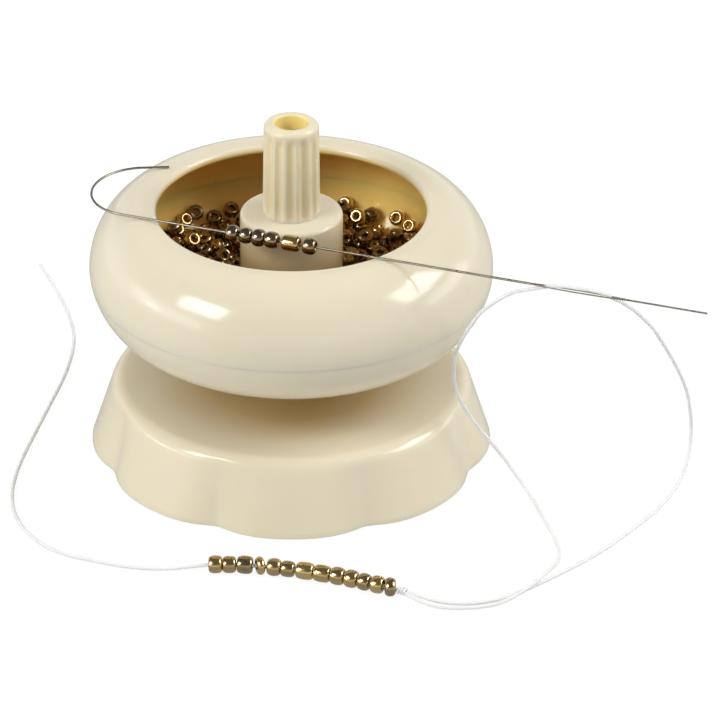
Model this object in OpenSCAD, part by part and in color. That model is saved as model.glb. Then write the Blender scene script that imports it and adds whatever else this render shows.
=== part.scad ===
// Bead spinner: a bowl that turns on a scalloped base, with loose beads,
// a hooked needle lying on the rim and a thread through the needle's eye.
// Origin: middle of the underside. +Z is up and is the spin axis, -Y is the front.

/* [Base] */
// Radius of the foot at the tip of a lobe
base_r = 44.8; // [43:0.2:50]
// Number of lobes round the skirt
lobe_count = 8; // [6:1:10]
// How far the grooves between the lobes cut in at the floor
lobe_depth = 2.2; // [1.4:0.1:2.6]
// Radius of the cutter that leaves the groove between two lobes
groove_cut_r = 12; // [6:0.5:16]
// How far below the rounded shoulder a groove runs out
groove_end = 1; // [0.5:0.5:4]
// Radius of the skirt where the lobes fade out, just under the shoulder
shoulder_r = 40.5; // [39:0.1:41.5]
// Height of the base above the floor at its rounded edge
base_h = 16.5; // [15:0.5:22]
// Radius that rounds the shoulder
shoulder_round = 3.5; // [2:0.1:4.5]
// How far the top sinks towards the pedestal
top_dish = 1.5; // [0.5:0.1:2.5]
// Wall thickness of the base moulding
base_wall = 2.2; // [1.6:0.1:2.4]
// Radius of the pedestal
pedestal_r = 8; // [7:0.1:9]
// Number of stiffening ribs under the top
rib_count = 8; // [4:1:12]
// Thickness of a stiffening rib
rib_t = 1.6; // [1:0.1:2.4]

/* [Underside] */
// Thickness of the cover plate
cover_t = 2.6; // [2.4:0.1:3.4]
// Radius of the rubber pad
pad_r = 22; // [16:0.5:25]
// Thickness of the rubber pad
pad_t = 1; // [0.8:0.1:1.4]
// How far the pad stands below the skirt's edge
pad_proud = 0.2; // [0.1:0.05:0.25]
// Distance of the cover screws from the axis
screw_ring_r = 31; // [30:0.5:33]
// Number of cover screws
screw_count = 4; // [3:1:5]
// Radius of a cover screw's thread
screw_r = 1.4; // [1:0.1:1.6]
// Radius of a cover screw's head
screw_head_r = 2.7; // [2.3:0.1:3]
// Height of a cover screw's head
screw_head_h = 1.3; // [1:0.1:1.5]
// Length of a cover screw under its head
screw_len = 8; // [6:0.5:9]

/* [Spindle] */
// Radius of the steel spindle
spindle_r = 2.5; // [2:0.1:3]
// Radial clearance of the bushes on the spindle
run_gap = 0.05; // [0.02:0.01:0.1]
// Wall thickness of a bush
bush_wall = 1.4; // [1:0.1:1.6]
// Length of a bush without its flange
bush_len = 8; // [5:0.5:9]
// Radius of a bush's flange
flange_r = 5.6; // [5.1:0.1:6]
// Thickness of a bush's flange
flange_t = 1; // [0.8:0.1:1.4]
// Thickness of the thrust washer
thrust_t = 1; // [0.6:0.1:1.4]
// Axial play between the bowl and what carries it
axial_play = 0.1; // [0.05:0.05:0.3]
// Radius of the retaining washer
keeper_r = 5; // [4.5:0.1:5.5]
// Thickness of the retaining washer
keeper_t = 0.6; // [0.5:0.1:1]
// Radius of the retaining screw's thread
keeper_screw_r = 1.5; // [1:0.1:1.6]
// Length of the retaining screw's thread in the spindle
keeper_screw_len = 10; // [6:0.5:14]
// Radius of the retaining screw's head
keeper_head_r = 2.7; // [2.2:0.1:3]
// Height of the retaining screw's head
keeper_head_h = 1.7; // [1.2:0.1:2]

/* [Bowl] */
// Largest outer radius of the bowl
bowl_r = 44.5; // [43:0.1:48]
// Clear height between the base's shoulder and the bowl's underside
bowl_gap = 12.8; // [11:0.2:18]
// Height from the bowl's underside to its widest line
belly_low_h = 14.6; // [13:0.1:17]
// Height from the widest line to the crest of the rim
belly_high_h = 14.8; // [13.5:0.1:16]
// Radius of the flat underside
floor_r = 32.2; // [30:0.1:34]
// Radius of the crest of the rim
crest_r = 32.4; // [31.5:0.1:34]
// Fullness of the lower curve, 2 for an ellipse
low_full = 1.8; // [1.7:0.05:2.2]
// Fullness of the upper curve, 2 for an ellipse
high_full = 1.92; // [1.8:0.02:2.2]
// Wall thickness of the bowl
bowl_wall = 2; // [1.8:0.1:2.2]
// Inner radius of the lip
lip_r = 29.6; // [29:0.1:30]
// Radius that rounds the lip
lip_round = 1.1; // [0.9:0.1:1.2]
// Depth of the lip's middle below the crest
lip_drop = 1.4; // [1.2:0.1:1.6]
// How far the parting line lies below the widest line
seam_drop = 2.4; // [1.5:0.1:4]
// Height of the dish's tongue inside the ring
tongue_h = 2.5; // [1.5:0.1:4]
// Gap between the tongue and the ring round it
tongue_gap = 0.1; // [0.05:0.05:0.2]

/* [Boss and knob] */
// Outer radius of the boss
boss_r = 11.3; // [10.9:0.1:13]
// Height of the boss above the bowl's underside
boss_h = 27.8; // [26:0.2:31]
// Radius that rounds the boss's top edge
boss_round = 1; // [0.5:0.1:1.4]
// Thickness of the boss's top
boss_top_t = 2.5; // [2:0.1:3.5]
// Outer radius of the hub tube that holds the bushes
hub_r = 6; // [5.9:0.1:7]
// Knob radius at its foot
knob_r = 6.3; // [6.1:0.1:7]
// Knob radius at its top
knob_top_r = 6; // [5.8:0.1:6.3]
// Height of the knob above the boss
knob_h = 21.6; // [16:0.2:28]
// Radius that rounds the knob's top edge
knob_round = 1.4; // [0.8:0.1:1.6]
// Radius of the knob's bore
knob_bore_r = 3.6; // [3.2:0.1:4]
// Radius of the knob's spigot in the boss
spigot_r = 5.3; // [5.1:0.1:5.6]
// Number of flutes round the knob
flute_count = 14; // [10:1:18]
// Depth of a flute
flute_depth = 0.5; // [0.2:0.05:0.6]
// Radius of a flute's round bottom
flute_r = 1.1; // [0.8:0.1:1.5]

/* [Beads] */
// Radius of a loose bead
bead_r = 1.75; // [1.4:0.05:1.85]
// Length of a loose bead
bead_len = 2.7; // [2.2:0.1:2.9]
// Radius of a bead's hole
bead_hole_r = 0.6; // [0.45:0.05:0.7]
// Distance between the middles of neighbouring loose beads
bead_pitch = 4.55; // [4.5:0.05:5.2]
// Seed of the loose beads' tilts
bead_seed = 7; // [1:1:50]

/* [Needle] */
// Radius of the needle's wire
wire_r = 0.3; // [0.25:0.05:0.4]
// Gap between the needle and the rim, so that the bowl turns under it
rest_gap = 0.1; // [0.05:0.05:0.3]
// Turn of the needle's straight from the X axis, clockwise from above
needle_turn = 19.9; // [15:0.1:25]
// Distance of the needle's straight from the spin axis
needle_off = 17.8; // [17:0.1:20]
// Length of the straight from the point nearest the axis to the blunt end
needle_reach = 98.5; // [90:0.5:105]
// Length of the straight from the point nearest the axis to the hook
hook_start = 33.7; // [32:0.1:38]
// Radius of the hook's bend
hook_r = 11.7; // [10:0.1:12.5]
// Length of the hook's straight tip
hook_tip = 6; // [3:0.5:8]
// Distance of the eye's middle from the point nearest the axis
eye_at = 70.9; // [66:0.1:75]
// Length of the eye's slot
eye_len = 18; // [12:0.5:22]
// Width of the eye's slot at its middle
eye_w = 1.1; // [0.9:0.05:1.4]

/* [Thread] */
// Radius of the thread
thread_r = 0.4; // [0.25:0.05:0.45]

/* [Hidden] */
$fn = 72;
over = 1;
touch = 0.2;

// Heights of the base, from the floor up
skirt_z = pad_proud;
cover_top_z = skirt_z + cover_t;
shoulder_z = base_h - shoulder_round;
ceiling_z = base_h - top_dish - base_wall;
column_z = cover_top_z + 3.2;
bowl_z = base_h + bowl_gap;
thrust_z = bowl_z - flange_t - axial_play / 2 - thrust_t;

// Base radii
groove_r = base_r - lobe_depth;
lobe_half = 180 / lobe_count;
cavity_low_r = groove_r - base_wall;
cavity_high_r = shoulder_r - base_wall;
cover_r = cavity_low_r - (cavity_low_r - cavity_high_r) * cover_t / (ceiling_z - skirt_z) - 0.15;
pedestal_fillet = 4;
rib_lift = 2;
post_r = screw_r + 2;
spindle_head_r = spindle_r + 2;
spindle_head_t = 1.6;

// Heights of the bowl
belly_z = bowl_z + belly_low_h;
crest_z = belly_z + belly_high_h;
seam_z = belly_z - seam_drop;
tongue_z = seam_z + tongue_h;
tongue_r = bowl_r - bowl_wall / 2 - tongue_gap / 2;
boss_z = bowl_z + boss_h;
boss_wall = 2;
plate_z = boss_z - boss_top_t;
bush_r = spindle_r + run_gap + bush_wall;
hub_z = plate_z - 0.5 - keeper_head_h - keeper_t - axial_play - flange_t;
spindle_top_z = hub_z + flange_t + axial_play;
knob_z = boss_z + knob_h;
hub_rib_t = 1.2;

// Loose beads
bead_lift = 0.15;
bead_reach = sqrt(bead_r * bead_r + bead_len * bead_len / 4);
inner_r = bowl_r - bowl_wall;
bead_gap = 0.6;
lower_room = 4.35;
upper_room = 2.075;
bead_first = boss_r + bead_r + bead_gap;
lower_rings = bead_rings(bead_first, inner_r - bead_r - lower_room);
upper_rings = bead_rings(bead_first + bead_pitch / 2, inner_r - bead_r - upper_room);

// Needle and its beads: [place along the straight, length, radius] of each bead
needle_z = crest_z + wire_r + rest_gap;
needle_beads = [
    [-7, 2.7, 1.8], [-3.9, 2.5, 1.7], [-1, 2.7, 1.9], [2, 2.9, 1.8], [6.4, 3.8, 1.75], [10.6, 2.7, 1.8]
];
eye_x = eye_at * cos(needle_turn) - needle_off * sin(needle_turn);
eye_y = -eye_at * sin(needle_turn) - needle_off * cos(needle_turn);
eye_t = 0.4;
eye_rim = 0.35;
eye_point = [eye_x, eye_y, needle_z - eye_t / 2 - 0.6];

// Route of the thread from the needle's eye round the right side to its free end
loop_route = [
    [60.6, -40.9, 58.3], [63.5, -39.4, 57.6], [67.4, -36, 54.8], [71.4, -32.5, 50.8],
    [75.7, -29, 45.3], [79.6, -26, 39.5], [83.2, -23, 32.5], [86, -20.5, 24.9],
    [87.5, -18.8, 17.9], [88.2, -18.6, 12], [87.6, -21, 7], [85.3, -26, 3.4],
    [81.1, -32, 1.1], [75.6, -39, 0.5], [66.3, -50.4, 0.5], [56.1, -59.9, 0.5],
    [49, -65.6, 0.5], [43.5, -69, 0.5], [37.5, -70.6, 0.5], [31.5, -70.4, 0.8],
    [26, -68.6, 1.5], [21.2, -66.6, 1.8],
    [15.6, -64.2, 1.8], [9.9, -62, 1.8], [4, -60.1, 1.8], [-2, -58.7, 1.8], [-8, -57.7, 1.8],
    [-14, -57.2, 1.8], [-19.5, -57.1, 1.5],
    [-26, -57, 0.7], [-33, -56.3, 0.5], [-41, -54, 0.5], [-51.5, -49, 0.5], [-58.5, -39.5, 0.5],
    [-61.3, -28, 0.5], [-60.5, -13.6, 0.5], [-56.1, 8.5, 0.5], [-52, 29.3, 0.5],
    [-51.2, 46, 0.5], [-54.9, 63.2, 0.5], [-61, 81, 0.5]
];
// Route of the thread from the eye down the front to the stopper bead
return_route = [
    [60.6, -40.9, 58.3], [58, -39.4, 58.4], [55.3, -37.9, 58.3], [52.9, -36.6, 57.8],
    [50.4, -36, 57.2], [47.7, -35.5, 56.3], [45.2, -34.5, 54.6], [43, -33, 52.2],
    [40.4, -31, 48.7], [38.4, -29.5, 44.7], [36, -28.1, 38.9], [35.2, -26.5, 33.6],
    [35.9, -24.2, 25.6], [39.2, -22.2, 17.8], [43.6, -21.2, 11.2], [47.1, -21.2, 6.4],
    [50.4, -23.4, 2.4], [53, -28.5, 0.6], [55.2, -37, 0.5], [57.4, -47, 0.5],
    [57.3, -53.4, 0.7], [54.6, -59.6, 1.5], [50, -65.6, 1.2], [44, -70.3, 0.5],
    [37.5, -72.2, 0.5], [31, -71.8, 0.5], [27, -70, 0.8], [23.3, -67.8, 1.6]
];
// Place of each strung bead along the loop's row: [x of its middle, length, radius]
strung = [
    [18.3, 2.6, 1.75], [15.5, 2.5, 1.8], [12.7, 2.7, 1.75], [9.8, 2.7, 1.8], [6.6, 3.3, 1.7],
    [2.9, 3.6, 1.75], [-0.7, 2.8, 1.65], [-3.7, 2.8, 1.8], [-9.9, 3.1, 1.8], [-13.2, 2.8, 1.75],
    [-16.2, 2.7, 1.8]
];
tilted_bead = [-6.7, 1.5, 1.8];
tilted_turn = 14;
stopper = [21.4, 1.7, 1.8];
stopper_turn = 16;
row_first = 19;
row_last = 28;
knot_r = 0.9;

cream = "#ede6d7";
ivory = "#efe9da";
steel = "#9a9690";
brass = "#c8a85a";
bronze = "#7a5a2c";
nylon = "#f4f4f2";
rubber = "#3b3b3b";

// Height above the bowl's underside of the wall's inner face at radius r
function bowl_floor(r) =
    let (w = inner_r - floor_r, t = max(0, min(1, (r - floor_r) / w)))
    belly_z - (belly_low_h - bowl_wall) * pow(1 - pow(t, low_full), 1 / low_full);

// Quarter of a full curve round [r0, z0], w wide and h high, from angle a0 to a1
function quarter(r0, z0, w, h, full, a0, a1, n) = [
    for (i = [0:n])
        let (a = a0 + (a1 - a0) * i / n)
        [r0 + w * pow(max(0, cos(a)), 2 / full), z0 + h * pow(max(0, sin(a)), 2 / full)]
];

// Arc of radius r round [x0, y0] from angle a0 to a1
function arc(x0, y0, r, a0, a1, n) = [
    for (i = [0:n])
        let (a = a0 + (a1 - a0) * i / n)
        [x0 + r * cos(a), y0 + r * sin(a)]
];

function flip(points) = [for (i = [len(points) - 1:-1:0]) points[i]];
function below(points, z) = [for (p = points) [p[0], 2 * z - p[1]]];

// Radii from the first to the last, evenly spaced and at least a bead's pitch apart
function bead_rings(first, last) =
    let (steps = floor((last - first) / bead_pitch + 0.001))
    [for (i = [0:steps]) first + (last - first) * i / steps];

module tube(outer_r, inner_r, z0, z1) {
    translate([0, 0, z0])
        difference() {
            cylinder(r = outer_r, h = z1 - z0);
            translate([0, 0, -over]) cylinder(r = inner_r, h = z1 - z0 + 2 * over);
        }
}

module disc(r, z0, z1) {
    translate([0, 0, z0]) cylinder(r = r, h = z1 - z0);
}

module around(count, start = 0) {
    for (i = [0:count - 1])
        rotate([0, 0, start + 360 * i / count]) children();
}

// Closed solid through rings of equally many points, the first and last filled
module stack(rings) {
    n = len(rings);
    sides = len(rings[0]);
    walls = [
        for (i = [0:n - 2], k = [0:sides - 1])
            let (a = i * sides + k, b = i * sides + (k + 1) % sides)
            each [[b + sides, b, a], [a + sides, b + sides, a]]
    ];
    ends = [
        [for (k = [0:sides - 1]) k],
        [for (k = [sides - 1:-1:0]) (n - 1) * sides + k]
    ];
    polyhedron(points = [for (ring = rings) each ring], faces = concat(walls, ends));
}

// Revolved body of the base: skirt core, rounded shoulder, sunk top and pedestal
module base_core() {
    foot_r = pedestal_r + pedestal_fillet;
    sunk_z = base_h - top_dish;
    rotate_extrude()
        polygon(concat(
            [[0, skirt_z], [base_r, skirt_z]],
            arc(shoulder_r - shoulder_round, shoulder_z, shoulder_round, 0, 90, 8),
            [for (i = [1:6])
                let (t = i / 6)
                [shoulder_r - shoulder_round - t * (shoulder_r - shoulder_round - foot_r),
                    base_h - top_dish * (1 - cos(180 * t)) / 2]],
            [for (p = arc(foot_r, sunk_z + pedestal_fillet, pedestal_fillet, 262, 180, 6)) p],
            [[pedestal_r, thrust_z], [0, thrust_z]]
        ));
}

// Leaning round cutters that leave the lobes between them and run out at the shoulder
module base_grooves() {
    lean = atan((groove_r - shoulder_r) / (shoulder_z - groove_end - skirt_z));
    lead = over + 2 * groove_cut_r * tan(lean);
    around(lobe_count, lobe_half)
        translate([groove_r, 0, skirt_z])
            rotate([0, -lean, 0])
                translate([groove_cut_r, 0, -lead])
                    cylinder(r = groove_cut_r, h = lead + base_h / cos(lean));
}

// Space inside the base, round the column, the screw posts and the ribs
module base_cavity() {
    difference() {
        rotate_extrude()
            polygon([
                [0, -over], [cavity_low_r, -over], [cavity_low_r, skirt_z],
                [cavity_high_r, ceiling_z], [0, ceiling_z]
            ]);
        disc(pedestal_r, column_z, ceiling_z + touch);
        around(screw_count, lobe_half)
            translate([screw_ring_r, 0, 0]) disc(post_r, cover_top_z, ceiling_z + touch);
        around(rib_count)
            translate([pedestal_r - 1, -rib_t / 2, cover_top_z + rib_lift])
                cube([base_r, rib_t, base_h]);
    }
}

module base_shell() {
    color(cream)
        difference() {
            base_core();
            base_grooves();
            base_cavity();
            disc(spindle_r, column_z - over, thrust_z + over);
            around(screw_count, lobe_half)
                translate([screw_ring_r, 0, 0])
                    disc(screw_r, cover_top_z - over, cover_top_z + screw_len - 0.5);
        }
}

module base_cover() {
    color(cream)
        difference() {
            disc(cover_r, skirt_z, cover_top_z);
            disc(pad_r, -over, pad_t);
            around(screw_count, lobe_half)
                translate([screw_ring_r, 0, 0]) {
                    disc(screw_r, -over, cover_top_z + over);
                    disc(screw_head_r + 0.3, -over, skirt_z + 0.1 + screw_head_h);
                }
        }
}

module cover_screws() {
    head_z = skirt_z + 0.1;
    color(steel)
        around(screw_count, lobe_half)
            translate([screw_ring_r, 0, 0])
                difference() {
                    union() {
                        disc(screw_head_r, head_z, head_z + screw_head_h);
                        disc(screw_r, head_z, head_z + screw_head_h + screw_len);
                    }
                    for (a = [0, 90])
                        rotate([0, 0, a])
                            translate([-1.3, -0.25, head_z - over]) cube([2.6, 0.5, over + 0.8]);
                }
}

module grip_pad() {
    color(rubber) disc(pad_r, 0, pad_t);
}

module spindle() {
    color(steel)
        difference() {
            union() {
                disc(spindle_r, column_z - spindle_head_t, spindle_top_z);
                disc(spindle_head_r, column_z - spindle_head_t, column_z);
            }
            disc(keeper_screw_r, spindle_top_z - keeper_screw_len - 1, spindle_top_z + over);
        }
}

module thrust_washer() {
    color(nylon) tube(pedestal_r - 0.5, spindle_r + run_gap, thrust_z, thrust_z + thrust_t);
}

// Flanged sleeve with its flange at the given height and its sleeve above or below it
module bush(flange_z, up) {
    sleeve_z = up ? flange_z - bush_len : flange_z;
    tube(bush_r, spindle_r + run_gap, sleeve_z, sleeve_z + bush_len + flange_t);
    tube(flange_r, spindle_r + run_gap, flange_z, flange_z + flange_t);
}

module lower_bush() {
    color(brass) bush(bowl_z - flange_t, false);
}

module upper_bush() {
    color(brass) bush(hub_z, true);
}

module retaining_washer() {
    color(steel) tube(keeper_r, keeper_screw_r + 0.1, spindle_top_z, spindle_top_z + keeper_t);
}

module retaining_screw() {
    head_z = spindle_top_z + keeper_t;
    color(steel)
        difference() {
            union() {
                disc(keeper_screw_r, spindle_top_z - keeper_screw_len, head_z + keeper_head_h);
                disc(keeper_head_r, head_z, head_z + keeper_head_h);
            }
            for (a = [0, 90])
                rotate([0, 0, a])
                    translate([-1.6, -0.3, head_z + 0.7]) cube([3.2, 0.6, keeper_head_h]);
        }
}

// Outline of the bowl's wall and floor, revolved, with both halves in one
module bowl_whole() {
    low_curve = quarter(floor_r, belly_z, bowl_r - floor_r, belly_low_h, low_full, 90, 0, 12);
    outer_low = below(low_curve, belly_z);
    outer_high = quarter(crest_r, belly_z, bowl_r - crest_r, belly_high_h, high_full, 7.5, 90, 11);
    lip_mid_r = lip_r + lip_round;
    lip_mid_z = crest_z - lip_drop;
    inner_high = quarter(
        crest_r, belly_z, inner_r - crest_r, belly_high_h - bowl_wall, high_full, 90, 7.5, 11);
    inner_low = below(
        quarter(floor_r, belly_z, inner_r - floor_r, belly_low_h - bowl_wall, low_full, 0, 90, 12), belly_z);
    rotate_extrude()
        polygon(concat(
            [[0, bowl_z]], outer_low, outer_high,
            arc(lip_mid_r, lip_mid_z, lip_round, 80, 280, 8),
            inner_high, inner_low,
            [[0, bowl_z + bowl_wall]]
        ));
}

module bowl_dish() {
    color(cream)
        difference() {
            union() {
                difference() {
                    union() {
                        intersection() {
                            bowl_whole();
                            disc(bowl_r + over, bowl_z - over, seam_z);
                        }
                        intersection() {
                            bowl_whole();
                            disc(tongue_r, seam_z - touch, tongue_z);
                        }
                        rotate_extrude()
                            polygon(concat(
                                [[0, bowl_z], [boss_r, bowl_z]],
                                arc(boss_r - boss_round, boss_z - boss_round, boss_round, 0, 90, 5),
                                [[0, boss_z]]
                            ));
                    }
                    disc(boss_r - boss_wall, bowl_z - over, plate_z);
                }
                disc(hub_r, bowl_z, hub_z);
                around(4, 45)
                    translate([hub_r - 0.5, -hub_rib_t / 2, bowl_z])
                        cube([boss_r - boss_wall - hub_r + 1, hub_rib_t, hub_z - bowl_z - 1]);
            }
            disc(bush_r, bowl_z - over, hub_z + over);
            disc(spigot_r, plate_z - over, boss_z + over);
        }
}

module bowl_ring() {
    color(cream)
        difference() {
            bowl_whole();
            disc(bowl_r + over, bowl_z - over, seam_z);
            disc(tongue_r + tongue_gap, seam_z - touch, tongue_z + tongue_gap);
        }
}

module knob() {
    color(ivory)
        difference() {
            rotate_extrude()
                polygon(concat(
                    [[knob_bore_r, plate_z], [spigot_r, plate_z], [spigot_r, boss_z], [knob_r, boss_z]],
                    arc(knob_top_r - knob_round, knob_z - knob_round, knob_round, 0, 90, 6),
                    [[knob_bore_r + 0.5, knob_z], [knob_bore_r, knob_z - 0.5]]
                ));
            around(flute_count)
                translate([knob_r + flute_r - flute_depth, 0, boss_z + 0.6])
                    cylinder(r = flute_r, h = knob_h);
        }
}

// One bead of the given length and radius, its hole along Z, its middle at the origin
module bead(length, r) {
    half = length / 2;
    end_r = bead_hole_r + 0.55 * (r - bead_hole_r);
    rotate_extrude()
        polygon([
            [bead_hole_r, -half], [end_r, -half], [r, -half * 0.45],
            [r, half * 0.45], [end_r, half], [bead_hole_r, half]
        ]);
}

// One bead with a rounder outline
module round_bead(length, r) {
    half = length / 2;
    end_r = bead_hole_r + 0.35 * (r - bead_hole_r);
    rotate_extrude()
        polygon(concat(
            [[bead_hole_r, -half]],
            flip(below(quarter(end_r, 0, r - end_r, half, 2.6, 0, 90, 4), 0)),
            [for (i = [1:4]) quarter(end_r, 0, r - end_r, half, 2.6, 0, 90, 4)[i]],
            [[bead_hole_r, half]]
        ));
}

// Loose beads lying flat on the bowl's floor, ring beside ring
module beads_lower() {
    color(bronze)
        for (r = lower_rings) {
            count = floor(2 * PI * r / bead_pitch);
            around(count, r * 37)
                translate([r, 0, bowl_floor(r + bead_r) + bead_lift + bead_len / 2])
                    bead(bead_len, bead_r);
        }
}

// Loose beads tumbled over them, each turned its own way in a cell of its own
module beads_upper() {
    color(bronze)
        for (k = [0:len(upper_rings) - 1]) {
            r = upper_rings[k];
            count = floor(2 * PI * r / bead_pitch);
            rest_r = min(r + bead_pitch / 2, max(lower_rings)) + bead_r;
            z = bowl_floor(rest_r) + bead_lift * 2 + bead_len + bead_reach;
            tilts = rands(0, 180, count, bead_seed + k);
            turns = rands(0, 360, count, bead_seed + 20 + k);
            for (i = [0:count - 1])
                rotate([0, 0, 360 * i / count + r * 53])
                    translate([r, 0, z])
                        rotate([tilts[i], 0, turns[i]])
                            bead(bead_len, bead_r);
        }
}

// Places its children on the needle's straight, along local X at the wire's height
module on_needle(along) {
    rotate([0, 0, -needle_turn])
        translate([along, -needle_off, needle_z]) children();
}

// Lens of a given length and width, the outline of the eye
module lens(length, width, thick) {
    r = (length * length / 4 + width * width / 4) / width;
    intersection() {
        translate([0, r - width / 2, -thick / 2]) cylinder(r = r, h = thick, $fn = 180);
        translate([0, width / 2 - r, -thick / 2]) cylinder(r = r, h = thick, $fn = 180);
    }
}

module wire(length, r_end = wire_r) {
    rotate([0, 90, 0]) cylinder(r1 = wire_r, r2 = r_end, h = length, $fn = 24);
}

module needle() {
    lens_len = eye_len + 6;
    color(steel)
        difference() {
            union() {
                on_needle(-hook_start) wire(hook_start + eye_at - eye_len / 2 - 1);
                on_needle(eye_at + eye_len / 2 + 1) wire(needle_reach - eye_at - eye_len / 2 - 1, 0.15);
                on_needle(eye_at) lens(lens_len, eye_w + 2 * eye_rim, eye_t);
                on_needle(-hook_start)
                    translate([0, hook_r, 0])
                        rotate([0, 0, 90 + needle_turn])
                            rotate_extrude(angle = 180 - needle_turn)
                                translate([hook_r, 0]) circle(r = wire_r, $fn = 24);
                on_needle(-hook_start)
                    translate([0, hook_r, 0])
                        rotate([0, 0, needle_turn])
                            translate([0, hook_r, 0]) wire(hook_tip, 0.12);
            }
            on_needle(eye_at) lens(eye_len, eye_w, 1);
        }
}

module needle_bead(i) {
    spec = needle_beads[i];
    color(bronze)
        on_needle(spec[0]) rotate([0, 90, 0]) round_bead(spec[1], spec[2]);
}

// Route carried round with the needle, spread with the bowl and drawn to the eye at its start
function placed(route) =
    let (
        a = 19.9 - needle_turn,
        spread = bowl_r / 44.5,
        lift = crest_z / 58.7,
        carried = [
            for (p = route)
                [(p[0] * cos(a) - p[1] * sin(a)) * spread, (p[0] * sin(a) + p[1] * cos(a)) * spread,
                    p[2] < 5 ? p[2] : p[2] * lift]
        ],
        shift = eye_point - carried[0]
    )
    [for (i = [0:len(route) - 1]) carried[i] + shift * max(0, 1 - i / 10)];

function unit(v) = v / norm(v);

// Sides of the thread's rings: u stays level, v completes the frame
function ring_at(points, i, r, sides) =
    let (
        d = unit(points[min(len(points) - 1, i + 1)] - points[max(0, i - 1)]),
        u = unit(cross([0, 0, 1], abs(d[2]) > 0.98 ? d + [0.3, 0, 0] : d)),
        v = cross(d, u)
    )
    [for (k = [0:sides - 1])
        points[i] + r * (cos(360 * k / sides) * u + sin(360 * k / sides) * v)];

module sweep(points, r, sides = 8) {
    stack([for (i = [0:len(points) - 1]) ring_at(points, i, r, sides)]);
}

module thread_loop() {
    color(nylon) sweep(placed(loop_route), thread_r);
}

module thread_return() {
    color(nylon) sweep(placed(return_route), thread_r);
}

// Point and heading on the loop's row where x passes a value
function row_at(points, x) = [
    for (i = [row_first:row_last])
        if (points[i][0] >= x && points[i + 1][0] < x)
            let (t = (points[i][0] - x) / (points[i][0] - points[i + 1][0]))
            [points[i] + t * (points[i + 1] - points[i]), unit(points[i + 1] - points[i])]
][0];

module on_row(x, turn = 0) {
    place = row_at(placed(loop_route), x);
    heading = place[1];
    translate(place[0])
        rotate([0, 0, atan2(heading[1], heading[0]) + turn])
            rotate([0, 90 - asin(heading[2]), 0]) children();
}

module strung_beads() {
    color(bronze) {
        for (spec = strung) on_row(spec[0]) round_bead(spec[1], spec[2]);
        on_row(tilted_bead[0], tilted_turn) round_bead(tilted_bead[1], tilted_bead[2]);
    }
}

module stopper_bead() {
    color(bronze) on_row(stopper[0], stopper_turn) round_bead(stopper[1], stopper[2]);
}

// Knot tied round the thread where the return meets the stopper bead
module thread_knot() {
    route = placed(return_route);
    color(nylon)
        translate(route[len(route) - 1]) sphere(r = knot_r, $fn = 32);
}

base_shell();
base_cover();
cover_screws();
grip_pad();
spindle();
thrust_washer();
retaining_washer();
retaining_screw();
bowl_dish();
bowl_ring();
lower_bush();
upper_bush();
knob();
beads_lower();
beads_upper();
needle();
needle_bead(0);  // needle_bead_1
needle_bead(1);  // needle_bead_2
needle_bead(2);  // needle_bead_3
needle_bead(3);  // needle_bead_4
needle_bead(4);  // needle_bead_5
needle_bead(5);  // needle_bead_6
thread_loop();
thread_return();
strung_beads();
stopper_bead();
thread_knot();
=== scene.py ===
import math

import bmesh
import bpy
import numpy as np
from mathutils import Matrix, Vector


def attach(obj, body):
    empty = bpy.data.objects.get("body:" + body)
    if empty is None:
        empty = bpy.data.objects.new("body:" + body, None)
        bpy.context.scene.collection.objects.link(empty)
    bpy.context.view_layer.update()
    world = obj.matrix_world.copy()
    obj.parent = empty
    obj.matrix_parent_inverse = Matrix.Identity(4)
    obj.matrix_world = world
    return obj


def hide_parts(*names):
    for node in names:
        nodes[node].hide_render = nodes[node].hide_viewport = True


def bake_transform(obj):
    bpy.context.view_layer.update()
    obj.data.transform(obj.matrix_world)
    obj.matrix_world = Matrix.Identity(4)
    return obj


mm = 0.001
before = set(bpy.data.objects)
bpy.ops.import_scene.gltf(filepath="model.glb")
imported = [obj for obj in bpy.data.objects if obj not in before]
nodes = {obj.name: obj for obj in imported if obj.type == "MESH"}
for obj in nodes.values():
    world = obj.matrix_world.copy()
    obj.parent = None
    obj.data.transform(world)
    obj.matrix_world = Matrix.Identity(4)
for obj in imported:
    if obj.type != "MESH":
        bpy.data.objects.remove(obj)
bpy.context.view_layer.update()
scene = bpy.context.scene
scene.view_settings.view_transform = "Standard"
print("frame loaded")

# Camera: looks along +Y from above, turned a little off the object as in the photograph
cameraView = {
    "target": (0, 0, 30), "elevation": 28.87, "distance": 900, "focalPixels": 4050,
    "picture": 720, "targetPixel": (291.44, 319.2), "sensor": 36, "clip": (0.05, 20)
}


def makeCamera(view):
    data = bpy.data.cameras.new("camera")
    data.sensor_width = view["sensor"]
    data.lens = view["focalPixels"] / view["picture"] * view["sensor"]
    data.clip_start, data.clip_end = view["clip"]
    camera = bpy.data.objects.new("camera", data)
    scene.collection.objects.link(camera)
    rise = math.radians(view["elevation"])
    back = Vector((0, -math.cos(rise), math.sin(rise)))
    place = (Vector(view["target"]) + back * view["distance"]) * mm
    middle = view["picture"] / 2
    turn = -math.atan((middle - view["targetPixel"][0]) / view["focalPixels"])
    nod = -math.atan((middle - view["targetPixel"][1]) / view["focalPixels"])
    aim = back.to_track_quat("Z", "Y").to_matrix().to_4x4()
    camera.matrix_world = (
        Matrix.Translation(place) @ aim @ Matrix.Rotation(turn, 4, "Y") @ Matrix.Rotation(nod, 4, "X")
    )
    scene.camera = camera


makeCamera(cameraView)


# Materials
noiseSpan = (0.3, 0.7)  # most values of a noise texture lie between these
mixPorts = {"factor": 0, "first": 6, "second": 7, "result": 2}  # colour sockets of the mix node


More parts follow.
